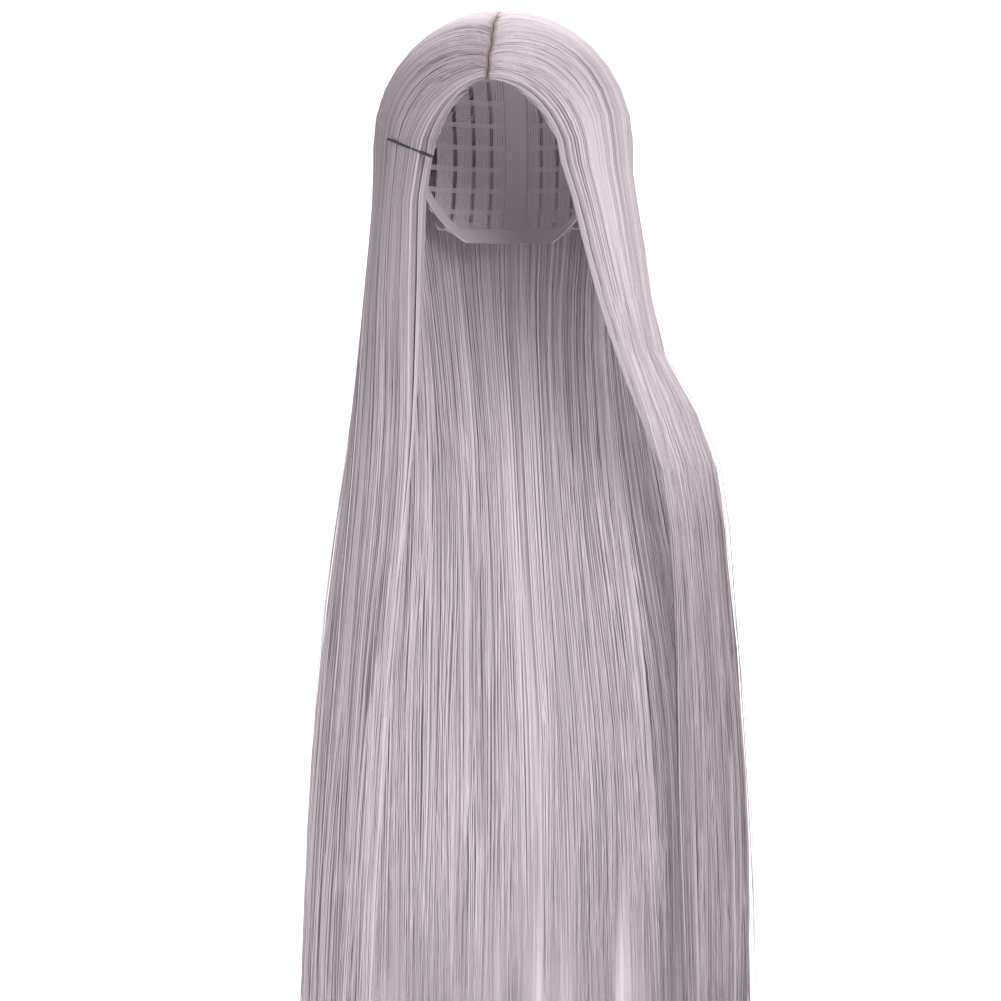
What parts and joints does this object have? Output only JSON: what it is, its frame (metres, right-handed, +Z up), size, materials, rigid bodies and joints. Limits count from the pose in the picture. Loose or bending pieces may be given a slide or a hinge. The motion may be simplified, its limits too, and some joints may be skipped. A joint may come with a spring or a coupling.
{
  "type": "costume wig",
  "caption": "Long straight centre-parted wig on a stretch cap, with ear tabs, nape adjusters and a hair pin; worn on a head for costumes.",
  "frame": {"origin": "centre of the wearer's head at its widest level", "axes": "+Z up, -Y the way the wearer faces, +X the wearer's left"},
  "size_m": [0.3539, 0.2652, 0.986],
  "materials": {
    "hair": "straight synthetic fibre, soft satin",
    "net_lace": "open stretch lace",
    "ribbon": "woven satin ribbon",
    "elastic": "woven elastic",
    "thread": "stitched weft and thread",
    "parting_skin": "soft matt skin sheet",
    "stay_steel": "bare spring steel",
    "hook_plastic": "moulded plastic",
    "pin_enamel": "black enamel",
    "pin_tip": "dipped plastic"
  },
  "bodies": {
    "cap": {"net_strip_1": "net_lace", "net_strip_2": "net_lace", "net_strip_3": "net_lace", "net_strip_4": "net_lace", "net_strip_5": "net_lace", "net_strip_6": "net_lace", "net_strip_7": "net_lace", "net_strip_8": "net_lace", "net_strip_9": "net_lace", "front_binding": "ribbon", "nape_band": "elastic", "centre_ribbon": "ribbon", "side_ribbon_left": "ribbon", "side_ribbon_right": "ribbon", "parting_base": "parting_skin", "weft_track_1": "thread", "weft_track_2": "thread", "weft_track_3": "thread", "weft_track_4": "thread", "weft_track_5": "thread", "weft_track_6": "thread", "weft_track_7": "thread", "weft_track_8": "thread", "weft_track_9": "thread", "adjuster_sleeve_left": "ribbon", "adjuster_sleeve_right": "ribbon", "adjuster_loops_left": "thread", "adjuster_loops_right": "thread", "hair_crown_left": "hair", "hair_crown_right": "hair"},
    "back_hair": {"hair_back_outer": "hair", "hair_back_middle": "hair", "hair_back_inner": "hair"},
    "front_hair_right": {"hair_front_right": "hair"},
    "front_hair_left": {"hair_front_left": "hair"},
    "pin": {"bobby_pin": "pin_enamel", "pin_tips": "pin_tip"},
    "ear_tab_left": {"ear_tab_left": "ribbon", "ear_stay_left": "stay_steel"},
    "adjuster_left": {"adjuster_strap_left": "elastic", "adjuster_hook_left": "hook_plastic"},
    "ear_tab_right": {"ear_tab_right": "ribbon", "ear_stay_right": "stay_steel"},
    "adjuster_right": {"adjuster_strap_right": "elastic", "adjuster_hook_right": "hook_plastic"}
  },
  "joints": [
    {"name": "back_swing", "type": "hinge", "parent": "cap", "child": "back_hair", "pos_m": [0, 0.1115, -0.028], "axis": [1, 0, 0], "range_deg": [0, 25]},
    {"name": "front_right_swing", "type": "hinge", "parent": "cap", "child": "front_hair_right", "pos_m": [-0.07, -0.086, -0.028], "axis": [1, 0, 0], "range_deg": [-30, 0]},
    {"name": "front_left_swing", "type": "hinge", "parent": "cap", "child": "front_hair_left", "pos_m": [0.101, -0.04, -0.028], "axis": [0, 1, 0], "range_deg": [-25, 0]},
    {"name": "pin_slide", "type": "slide", "parent": "cap", "child": "pin", "axis": [0.7398, -0.5972, -0.31], "range_m": [0, 0.065]},
    {"name": "ear_tab_left_bend", "type": "hinge", "parent": "cap", "child": "ear_tab_left", "pos_m": [0.06965, -0.0375, -0.0047], "axis": [0.3194, 0.9476, 0], "range_deg": [0, 15]},
    {"name": "adjuster_left_slide", "type": "slide", "parent": "cap", "child": "adjuster_left", "axis": [-0.7349, 0.6781, 0], "range_m": [0, 0.012]},
    {"name": "ear_tab_right_bend", "type": "hinge", "parent": "cap", "child": "ear_tab_right", "pos_m": [-0.06965, -0.0375, -0.0047], "axis": [0.3194, -0.9476, 0], "range_deg": [0, 15]},
    {"name": "adjuster_right_slide", "type": "slide", "parent": "cap", "child": "adjuster_right", "axis": [0.7349, 0.6781, 0], "range_m": [0, 0.012]}
  ]
}
